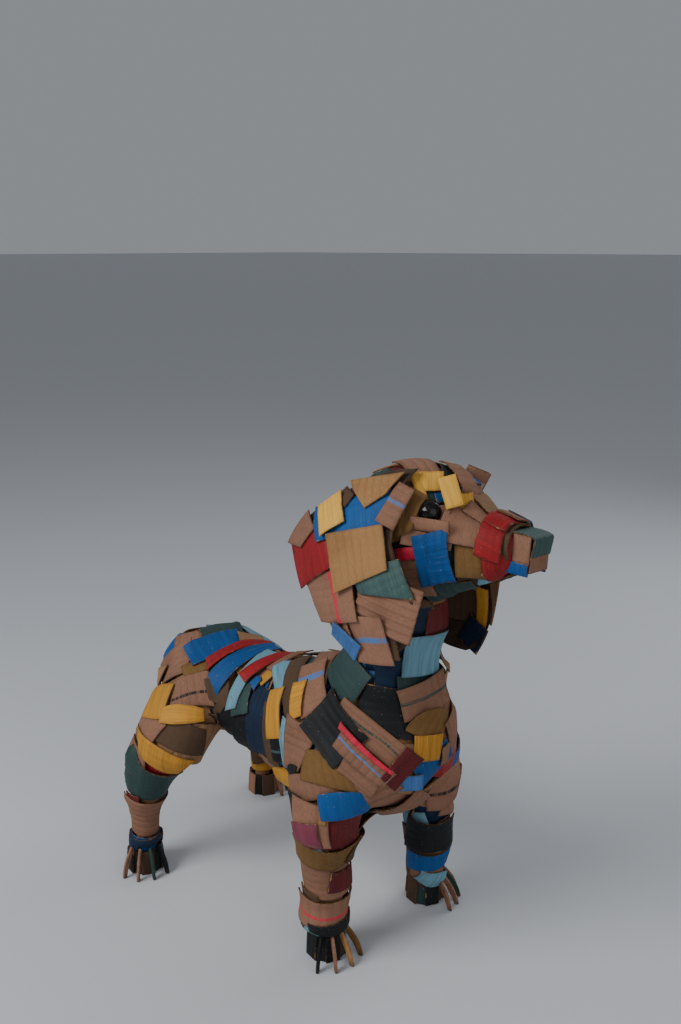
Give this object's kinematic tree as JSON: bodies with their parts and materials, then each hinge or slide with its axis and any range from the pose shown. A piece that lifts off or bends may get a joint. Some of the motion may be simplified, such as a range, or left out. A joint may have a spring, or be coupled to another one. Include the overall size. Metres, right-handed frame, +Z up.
{
  "type": "cardboard dog figure",
  "caption": "Standing long-eared hound figure, life size for a small dog, built up from glued overlapping patches of corrugated board, some painted.",
  "frame": {"origin": "centre of the bounding box in X and Y, on the ground under the paws", "axes": "+X is the way the nose points, +Y the animal's left, +Z up"},
  "size_m": [0.4086, 0.2256, 0.4094],
  "materials": {
    "board_body": "matt kraft board with painted patches",
    "board_ears": "matt kraft board with painted patches",
    "board_nose": "matt board, partly painted grey-green and blue",
    "board_claws": "matt board, some dark-painted",
    "eyes": "glossy black"
  },
  "bodies": {
    "root": {"body": "board_body", "ear_left": "board_ears", "ear_right": "board_ears", "eye_left": "eyes", "eye_right": "eyes", "nose": "board_nose", "lower_lip": "board_nose", "brow_flap_left": "board_nose", "claw_front_right_1": "board_claws", "claw_front_right_2": "board_claws", "claw_front_right_3": "board_claws", "claw_front_right_4": "board_claws", "claw_front_left_1": "board_claws", "claw_front_left_2": "board_claws", "claw_front_left_3": "board_claws", "claw_front_left_4": "board_claws", "claw_hind_right_1": "board_claws", "claw_hind_right_2": "board_claws", "claw_hind_right_3": "board_claws", "claw_hind_right_4": "board_claws", "claw_hind_left_1": "board_claws", "claw_hind_left_2": "board_claws", "claw_hind_left_3": "board_claws", "claw_hind_left_4": "board_claws"}
  },
  "joints": []
}
